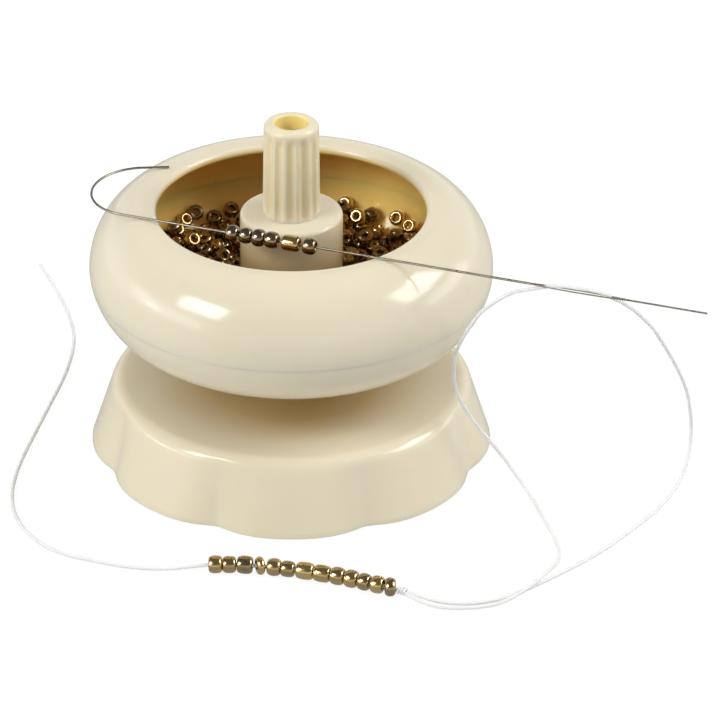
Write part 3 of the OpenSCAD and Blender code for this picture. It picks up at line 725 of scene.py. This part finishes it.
def makeRing(s):
    bm = bmesh.new()
    outer, inner = lowCurve(s, 0), highCurve(s, s["wall"])
    edge, soft = s["seamEdge"], s["tongueSoft"]
    seamR = radiusAt(outer, s["seamZ"])
    underZ = s["seamZ"] + s["seamGap"]
    lipR, lipZ = s["lipR"] + s["lipRound"], s["crestZ"] - s["lipDrop"]
    ledgeZ = s["tongueZ"] + s["ledgeGap"]
    tongueR = s["tongueR"] + s["tongueGap"]
    wallR = inner[0][0]
    profile = (
        [(tongueR, underZ), (seamR - edge, underZ), (seamR - s["seamBevel"], s["seamZ"] + edge)]
        + [seamPoint(s, outer, edge + away) for away in s["seamHolds"]]
        + [p for p in outer[::-1] if p[1] > s["seamZ"] + edge + s["seamClear"]]
        + highCurve(s, 0)[1:-1]
        + arcPoints(lipR, lipZ, s["lipRound"], 82, 282, 16)
        + [p for p in inner[::-1] if ledgeZ + s["tongueClear"] < p[1] < lipZ - s["lipClear"]]
        + [(wallR, ledgeZ + s["tongueEdge"]), (wallR, ledgeZ + soft), (wallR + soft, ledgeZ)]
        + [(tongueR, ledgeZ)]
    )
    revolve(bm, profile, s["steps"])
    piece = makePiece(bm, "bowlRing", shellPlastic)
    paintBy(piece, "paintedWarmShade", lambda r, z: bowlWarmShade(s, r, z))
    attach(piece, "bowl")
    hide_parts("bowl_ring")


makeDish(bowlShape)
makeRing(bowlShape)
print("bowl made")

# Knob: fluted finger grip with an open bore
knobShape = {
    "footR": 6.3, "topR": 6.0, "footZ": 57.1, "topZ": 78.7, "round": 1.4, "sideSteps": 30,
    "boreR": 3.6, "boreRound": 0.5, "boreTaper": 0.12, "boreSteps": 8, "spigotR": 5.3, "spigotZ": 54.6,
    "flutes": 14, "fluteDepth": 0.5, "fluteShare": 0.78, "fluteLow": 57.5, "fluteHigh": 76.9,
    "fluteEnd": 1.2, "fluteLead": 0.4, "footClear": 0.01, "steps": 336
}
# painted shade in the knob's bore and grooves: how far from the walls, how fast it grows and how strong
knobShadeTint = {"boreSide": 0.3, "boreFade": 0.25, "groove": 0.3, "grooveSide": 0.1, "grooveFade": 0.4}


def knobProfile(s):
    rise, sideZ = s["sideSteps"], s["topZ"] - s["round"]
    side = [
        (s["footR"] + (s["topR"] - s["footR"]) * i / rise, s["footZ"] + (sideZ - s["footZ"]) * i / rise)
        for i in range(rise)
    ]
    boreZ = s["topZ"] - s["boreRound"]
    deep = s["boreSteps"]
    return (
        [(s["spigotR"], s["spigotZ"]), (s["spigotR"], s["footZ"])] + side
        + arcPoints(s["topR"] - s["round"], sideZ, s["round"], 0, 90, 10)
        + arcPoints(s["boreR"] + s["boreRound"], boreZ, s["boreRound"], 90, 180, 5)
        + [
            (s["boreR"] - s["boreTaper"] * i / deep, boreZ - (boreZ - s["spigotZ"]) * i / deep)
            for i in range(1, deep + 1)
        ]
    )


def fluteCut(s, vert, z):
    place = (math.atan2(vert.co.y, vert.co.x) / (2 * math.pi) * s["flutes"]) % 1
    across = abs(place - 0.5) * 2 / s["fluteShare"]
    lower = max(0, (z - s["fluteLow"]) / s["fluteEnd"] + s["fluteLead"])
    upper = max(0, (s["fluteHigh"] - z) / s["fluteEnd"])
    return s["fluteDepth"] * max(0, 1 - across ** 2) * min(1, lower, upper)


def knobWarmShade(s, r, z):
    # painted shade: inside the bore, and a little in the grooves
    if r < s["boreR"] + s["boreRound"]:
        return (s["boreR"] + knobShadeTint["boreSide"] - r) / knobShadeTint["boreFade"]
    if z >= s["fluteHigh"]:
        return 0
    return clamp((s["topR"] + knobShadeTint["grooveSide"] - r) / knobShadeTint["grooveFade"]) * knobShadeTint["groove"]


def makeKnob(s):
    bm = bmesh.new()
    revolve(bm, knobProfile(s), s["steps"])
    for vert in bm.verts:
        r, z = spotOf(vert)
        if r >= s["topR"] - s["round"] and z >= s["footZ"] - s["footClear"]:
            drawIn(vert, r, fluteCut(s, vert, z))
    piece = makePiece(bm, "fingerKnob", knobPlastic, sharpAngle=50)
    paintBy(piece, "paintedWarmShade", lambda r, z: knobWarmShade(s, r, z))
    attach(piece, "bowl")
    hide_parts("knob")


makeKnob(knobShape)
print("knob made")

# Loose beads: a bottom layer in rings and a heap settled over it
heapShape = {
    "beadR": 1.88, "beadLength": 2.75, "holeR": 0.78, "sides": 9, "ballR": 1.8, "floorZ": 31.3,
    "pitch": 4.55, "ringGap": 0.6, "ringTurn": 0.65, "ringLift": 0.15, "wallRoom": 4,
    "count": 400, "bossRoom": 2, "spreadR": 38.5, "lowest": 37.0, "highest": 46.0, "clearance": 2.7, "seed": 11,
    "rounds": 260, "slowRounds": 40, "drop": 0.14, "slowDrop": 0.2, "pairEvery": 4, "pairGap": 1.2,
    "pushes": 5, "pushShare": 0.9,
    "ringTilt": 0.04, "flatShare": 0.3, "flatTilt": 0.15,
    "widths": (0.9, 1.0), "lengths": (0.78, 1.02), "toneTop": 0.8
}
beadRing = {"lip": 0.3, "lipDrop": 0.86, "crownR": 0.82, "crownDrop": 0.95, "sideDrop": 0.48}
leastSpan = 1e-6
# beads that lie on top of the heap with their holes in sight: middle, direction of the hole, tone
shownBeads = [
    ((12.5, 38.1, 39.1), (-0.36, -0.76, 0.54), 0.9), ((15.2, 32.3, 38.9), (-0.39, -0.74, 0.55), 0.95),
    ((18.3, 34.5, 38.2), (0.9, 0.3, 0.3), 0.1), ((24.2, 31.0, 39.2), (-0.34, -0.78, 0.52), 0.8),
    ((27.0, 26.6, 39.4), (-0.4, -0.73, 0.55), 1.0), ((16.6, 22.4, 38.6), (0.0, -0.4, 0.92), 0.5),
    ((19.8, 13.2, 39.2), (0.05, -0.35, 0.93), 0.45), ((-21.9, 33.6, 39.3), (0.15, -0.85, 0.5), 0.15),
    ((-17.7, 33.6, 37.9), (0.1, -0.62, 0.8), 0.2), ((-13.8, 35.6, 38.9), (0.3, -0.5, 0.8), 0.4),
    ((-26.2, 27.6, 37.9), (0.48, -0.62, 0.62), 0.85), ((-22.4, 19.5, 39.6), (0.42, -0.66, 0.62), 0.8),
    ((-24.4, 31.6, 38.3), (0.46, -0.6, 0.65), 0.7)
]


def plainBead(s, ends):
    half, radius, hole = s["beadLength"] / 2, s["beadR"], s["holeR"]
    lip = hole + ends["lip"] * (radius - hole)
    ring = [(hole, half * ends["lipDrop"]), (lip, half)]
    ring += [(radius * ends["crownR"], half * ends["crownDrop"]), (radius, half * ends["sideDrop"])]
    ring += [(r, -z) for r, z in ring[::-1]]
    bm = bmesh.new()
    revolve(bm, ring, s["sides"])
    return cleanMesh(bm, "plainBead")


def bottomRings(s, bowl):
    full, wallR = bowl["lowFull"], bowl["bowlR"] - bowl["wall"]
    made = []
    r = bowl["bossR"] + s["beadR"] + s["ringGap"]
    while r + s["beadR"] < wallR - s["wallRoom"]:
        around = int(2 * math.pi * r / s["pitch"])
        share = clamp((r + s["beadR"] - bowl["floorR"]) / (wallR - bowl["floorR"]))
        low = bowl["bellyZ"] - (bowl["bellyZ"] - s["floorZ"]) * (1 - share ** full) ** (1 / full)
        for i in range(around):
            a = 2 * math.pi * i / around + r * s["ringTurn"]
            made.append((r * math.cos(a), r * math.sin(a), low + s["ringLift"] + s["beadLength"] / 2))
        r += s["pitch"]
    return np.array(made)


def scatteredBalls(s, bowl):
    random = np.random.RandomState(s["seed"])
    radii = np.sqrt(random.uniform((bowl["bossR"] + s["bossRoom"]) ** 2, s["spreadR"] ** 2, s["count"]))
    angles = random.uniform(0, 2 * math.pi, s["count"])
    heights = random.uniform(s["lowest"], s["highest"], s["count"])
    return np.stack([radii * np.cos(angles), radii * np.sin(angles), heights], 1)


def nearPairs(balls, held, reach):
    gap = np.abs(balls[:, None, :] - balls[None, :, :]).max(2)
    first, second = np.where(gap < reach)
    keep = (first < second) & (second >= held)
    return first[keep], second[keep]


def pushApart(balls, pairs, width, share):
    span = balls[pairs[1]] - balls[pairs[0]]
    far = np.maximum(np.sqrt((span ** 2).sum(1)), leastSpan)
    push = np.maximum(0, width - far) * 0.5
    move = span / far[:, None] * push[:, None] * share
    np.add.at(balls, pairs[1], move)
    np.add.at(balls, pairs[0], -move)


def keepInside(balls, held, s, bowl):
    # off the boss, over the floor and inside the bowl's wall
    ball, full = s["ballR"], bowl["lowFull"]
    width, height = bowl["bowlR"] - bowl["wall"] - bowl["floorR"], bowl["bellyZ"] - s["floorZ"]
    out = np.sqrt(balls[:, 0] ** 2 + balls[:, 1] ** 2)
    near = np.maximum(0, bowl["bossR"] + ball - out)
    balls[:, :2] *= (1 + near / out)[:, None]
    balls[held:, 2] = np.maximum(balls[held:, 2], s["floorZ"] + ball)
    out = np.sqrt(balls[:, 0] ** 2 + balls[:, 1] ** 2)
    a = np.maximum(0, out - bowl["floorR"]) / width
    b = np.maximum(0, bowl["bellyZ"] - balls[:, 2]) / height
    reach = np.maximum((a ** full + b ** full) ** (1 / full), leastSpan)
    slopeR = reach ** (1 - full) * a ** (full - 1) / width
    slopeZ = reach ** (1 - full) * b ** (full - 1) / height
    slope = np.maximum(np.sqrt(slopeR ** 2 + slopeZ ** 2), leastSpan)
    deep = np.where(a > 0, np.maximum(0, ball - (1 - reach) / slope), 0)
    balls[:, :2] *= (1 - deep * slopeR / slope / out)[:, None]
    balls[:, 2] += deep * slopeZ / slope


def settleHeap(s, bowl):
    # the rings stay where they are and the rest sinks onto them
    fixed = bottomRings(s, bowl)
    held = len(fixed)
    balls = np.concatenate([fixed, scatteredBalls(s, bowl)])
    width = 2 * s["ballR"]
    for step in range(s["rounds"]):
        balls[held:, 2] -= s["drop"] if step < s["rounds"] - s["slowRounds"] else s["drop"] * s["slowDrop"]
        if step % s["pairEvery"] == 0:
            pairs = nearPairs(balls, held, width + s["pairGap"])
        for _ in range(s["pushes"]):
            pushApart(balls, pairs, width, s["pushShare"])
            balls[:held] = fixed
            keepInside(balls, held, s, bowl)
            balls[:held] = fixed
    return balls, held


def addCopy(bm, mesh, place):
    made = mesh.copy()
    made.transform(place)
    bm.from_mesh(made)
    bpy.data.meshes.remove(made)


def makeHeap(s, bowl, shown):
    proto = plainBead(s, beadRing)
    balls, held = settleHeap(s, bowl)
    random = np.random.RandomState(s["seed"] + 1)
    bm = bmesh.new()
    tones = []
    for i, ball in enumerate(balls):
        tilt, turn, size = random.uniform(0, 180), random.uniform(0, 360), random.uniform(*s["widths"])
        if i < held:
            tilt *= s["ringTilt"]
        elif random.uniform() < s["flatShare"]:
            tilt *= s["flatTilt"]
        place = (
            Matrix.Translation(Vector(ball) * mm) @ Matrix.Rotation(math.radians(turn), 4, "Z")
            @ Matrix.Rotation(math.radians(tilt), 4, "X")
            @ Matrix.Diagonal((size, size, random.uniform(*s["lengths"]), 1))
        )
        nearest = min((Vector(ball) - Vector(middle)).length for middle, way, tone in shown)
        if i >= held and nearest < s["clearance"]:
            continue
        addCopy(bm, proto, place)
        tones.append(random.uniform(0, s["toneTop"]))
    for middle, way, tone in shown:
        lean = Vector(way).to_track_quat("Z", "Y").to_matrix().to_4x4()
        addCopy(bm, proto, Matrix.Translation(Vector(middle) * mm) @ lean)
        tones.append(tone)
    piece = placePiece(meshFrom(bm, "looseBeads"), "looseBeads", beadGlass, sharpAngle=80)
    setValues(piece, "tone", np.repeat(tones, len(proto.vertices)))
    bpy.data.meshes.remove(proto)
    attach(piece, "bowl")
    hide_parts("beads_lower", "beads_upper")
    print("loose beads", len(tones), "highest", round(float(balls[:, 2].max()), 1))


makeHeap(heapShape, bowlShape, shownBeads)


# Single beads: on the needle and on the thread
fineEnds = {
    "hole": 0.6, "lip": 0.38, "lipWidth": 0.12, "lipDrop": 0.03, "holeDrop": 0.22, "roundSteps": 7, "sides": 32
}


def fineBead(length, radius, full, ends=fineEnds):
    half, hole = length / 2, ends["hole"]
    lipR = hole + ends["lipWidth"]
    endR = hole + ends["lip"] * (radius - hole)
    upper = fullCurve(endR, 0, radius - endR, half, full, ends["roundSteps"])
    ring = (
        upper + [(lipR, half - ends["lipDrop"]), (hole, half - ends["holeDrop"])]
        + [(hole, -half + ends["holeDrop"]), (lipR, -half + ends["lipDrop"])]
        + [(r, -z) for r, z in upper[::-1]][:-1]
    )
    bm = bmesh.new()
    revolve(bm, ring, ends["sides"])
    return bm


# place along the needle, length, radius, fullness and tone of each bead
needleBeads = [
    (-7.0, 2.6, 1.85, 2.0, 0.15), (-3.9, 2.6, 1.75, 2.2, 0.1), (-1.0, 2.7, 1.95, 2.1, 0.05),
    (2.0, 2.95, 1.85, 2.1, 0.25), (6.4, 3.8, 1.75, 3.6, 0.8), (10.6, 2.75, 1.85, 2.2, 0.3)
]
needleShape = {
    "turn": 19.9, "off": 17.8, "z": 59.05, "wire": 0.26, "sides": 12, "reach": 98.5, "tipWire": 0.75,
    "hookStart": 32.8, "hookR": 11.7, "hookTip": 5.5, "hookSquash": 0.93, "hookSteps": 40,
    "eyeAt": 70.9, "eyeLength": 18.0, "eyeWidth": 0.6, "eyeWire": 0.15, "eyeSpread": 0.08, "eyeFull": 0.8,
    "eyeBack": 3, "eyeFront": 2, "eyeSteps": 24, "shankLap": 2, "tipLap": 1.5
}


def needleMatrix(s):
    move = Matrix.Translation(Vector((0, -s["off"], s["z"])) * mm)
    return Matrix.Rotation(math.radians(-s["turn"]), 4, "Z") @ move


def hookLine(s):
    # the bend and the hook's straight tip, in the needle's own lines
    bend = math.radians(180 - s["turn"])
    hook = []
    for i in range(s["hookSteps"] + 1):
        a = -math.pi / 2 - bend * i / s["hookSteps"]
        x = -s["hookStart"] + s["hookR"] * s["hookSquash"] * math.cos(a)
        hook.append((x, s["hookR"] + s["hookR"] * math.sin(a)))
    tipWay = Vector((hook[-1][0] - hook[-2][0], hook[-1][1] - hook[-2][1])).normalized()
    hook.append((hook[-1][0] + tipWay.x * s["hookTip"], hook[-1][1] + tipWay.y * s["hookTip"]))
    return hook


def eyeLine(s, side, start):
    line = []
    for i in range(s["eyeSteps"] + 1):
        t = i / s["eyeSteps"]
        lift = side * (s["eyeWidth"] / 2 + s["eyeWire"]) * math.sin(math.pi * t) ** s["eyeFull"]
        along = (s["eyeLength"] + s["eyeBack"] + s["eyeFront"]) * t
        line.append((start - s["eyeBack"] + along, lift + side * s["eyeSpread"]))
    return line


def makeNeedle(s):
    # the shank with the hook, the straight end past the eye, and the eye's two wires
    eyeFrom, eyeTo = s["eyeAt"] - s["eyeLength"] / 2, s["eyeAt"] + s["eyeLength"] / 2
    parts = [
        ([(eyeFrom - s["shankLap"], 0)] + hookLine(s), s["wire"]),
        ([(eyeTo + s["tipLap"], 0), (s["reach"], 0)], s["wire"] * s["tipWire"])
    ]
    parts += [(eyeLine(s, side, eyeFrom), s["eyeWire"]) for side in (-1, 1)]
    joined = bmesh.new()
    for line, radius in parts:
        points = [Vector((x * mm, y * mm, 0)) for x, y in line]
        joined.from_mesh(tubeMesh("wire", points, radius * mm, s["sides"]))
    joined.transform(needleMatrix(s))
    piece = makePiece(joined, "needleWire", needleSteel, sharpAngle=60)
    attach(piece, "needle")
    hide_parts("needle")


makeNeedle(needleShape)
for number, (along, length, radius, full, tone) in enumerate(needleBeads, 1):
    bm = fineBead(length, radius, full)
    move = Matrix.Translation((along * mm, 0, 0))
    bm.transform(needleMatrix(needleShape) @ move @ Matrix.Rotation(math.pi / 2, 4, "Y"))
    piece = makePiece(bm, f"needleBead{number}", beadGlass, sharpAngle=60)
    setTone(piece, tone)
    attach(piece, "needle_beads")
    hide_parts(f"needle_bead_{number}")
print("needle made")

# x of the middle, length, radius, fullness, tone and turn of each bead on the thread
strungBeads = [
    (18.2, 2.8, 1.92, 2.3, 0.95, 4), (15.45, 2.65, 1.88, 2.2, 0.6, -3), (12.7, 2.85, 1.96, 2.2, 0.85, 2),
    (9.8, 3.05, 1.96, 2.2, 0.7, 0), (6.55, 3.55, 1.87, 2.8, 0.8, 0), (2.9, 3.75, 1.9, 2.8, 1.0, 0),
    (-0.75, 2.95, 1.78, 2.4, 0.6, 0), (-3.7, 2.95, 1.94, 2.1, 0.7, 0), (-6.7, 1.75, 2.0, 2.0, 0.85, 24),
    (-9.9, 3.35, 1.97, 2.6, 0.45, -2), (-13.25, 2.9, 1.87, 2.4, 0.65, 2), (-16.2, 2.9, 1.95, 2.5, 0.8, -2)
]
stopperBead = (20.85, 2.35, 2.05, 2.0, 0.5, 24)
rowRest = 1.84  # radius of a bead that just touches the floor
rowFrontY = -0.05  # the row lies in front of this, in metres


def onRow(x, turn, radius=rowRest):
    # a larger bead is lifted, so that it rests on the floor
    for a, b in zip(loopLine, loopLine[1:]):
        if a.y < rowFrontY and a.x / mm >= x > b.x / mm:
            t = (a.x / mm - x) / ((a.x - b.x) / mm)
            way = (b - a).normalized()
            return (
                Matrix.Translation(a.lerp(b, t) + Vector((0, 0, max(0, radius - rowRest) * mm)))
                @ Matrix.Rotation(math.atan2(way.y, way.x) + math.radians(turn), 4, "Z")
                @ Matrix.Rotation(math.pi / 2 - math.asin(way.z), 4, "Y")
            )


joined, tones = bmesh.new(), []
for x, length, radius, full, tone, turn in strungBeads:
    bm = fineBead(length, radius, full)
    mergeDoubles(bm)
    bm.transform(onRow(x, turn, radius))
    mesh = meshFrom(bm, "bead")
    joined.from_mesh(mesh)
    tones += [tone] * len(mesh.vertices)
strung = makePiece(joined, "strungBeads", beadGlass, sharpAngle=60)
setValues(strung, "tone", tones)
x, length, radius, full, tone, turn = stopperBead
bm = fineBead(length, radius, full)
bm.transform(onRow(x, turn, radius))
stopper = makePiece(bm, "stopperBead", beadGlass, sharpAngle=60)
setTone(stopper, tone)
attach(strung, "base")
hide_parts("strung_beads")
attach(stopper, "base")
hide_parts("stopper_bead")

# Knot: a few tight turns of the return wound round the loop
knotShape = {"x": 23.3, "pitch": 0.62, "radius": 0.6, "turns": 3, "turnSteps": 16, "thread": 0.3, "sides": 8}


def makeKnot(s):
    spot = onRow(s["x"], 0)
    middle, way = spot.translation, spot.to_3x3() @ Vector((0, 0, 1))
    side = way.cross(Vector((0, 0, 1))).normalized()
    lift = side.cross(way).normalized()
    count = s["turns"] * s["turnSteps"]
    points = []
    for i in range(count + 1):
        a = 2 * math.pi * i / s["turnSteps"]
        along = (i / count - 0.5) * s["pitch"] * s["turns"]
        wound = side * s["radius"] * math.cos(a) + lift * s["radius"] * math.sin(a)
        points.append(middle + (way * along + wound) * mm)
    mesh = tubeMesh("threadKnot", points, s["thread"] * mm, s["sides"])
    return placePiece(mesh, "threadKnot", nylon, sharpAngle=60)


knot = makeKnot(knotShape)
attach(knot, "base")
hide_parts("thread_knot")
print("beads on the thread made")

# Parts kept from the frame get their finishes
keptFinishes = {
    "base_cover": coverPlastic, "grip_pad": padRubber, "cover_screws": turnedSteel, "spindle": turnedSteel,
    "retaining_washer": turnedSteel, "retaining_screw": turnedSteel, "thrust_washer": washerPlastic,
    "lower_bush": bushBrass, "upper_bush": bushBrass
}
for node, material in keptFinishes.items():
    nodes[node].data.materials.clear()
    nodes[node].data.materials.append(material)
print("finishes set")
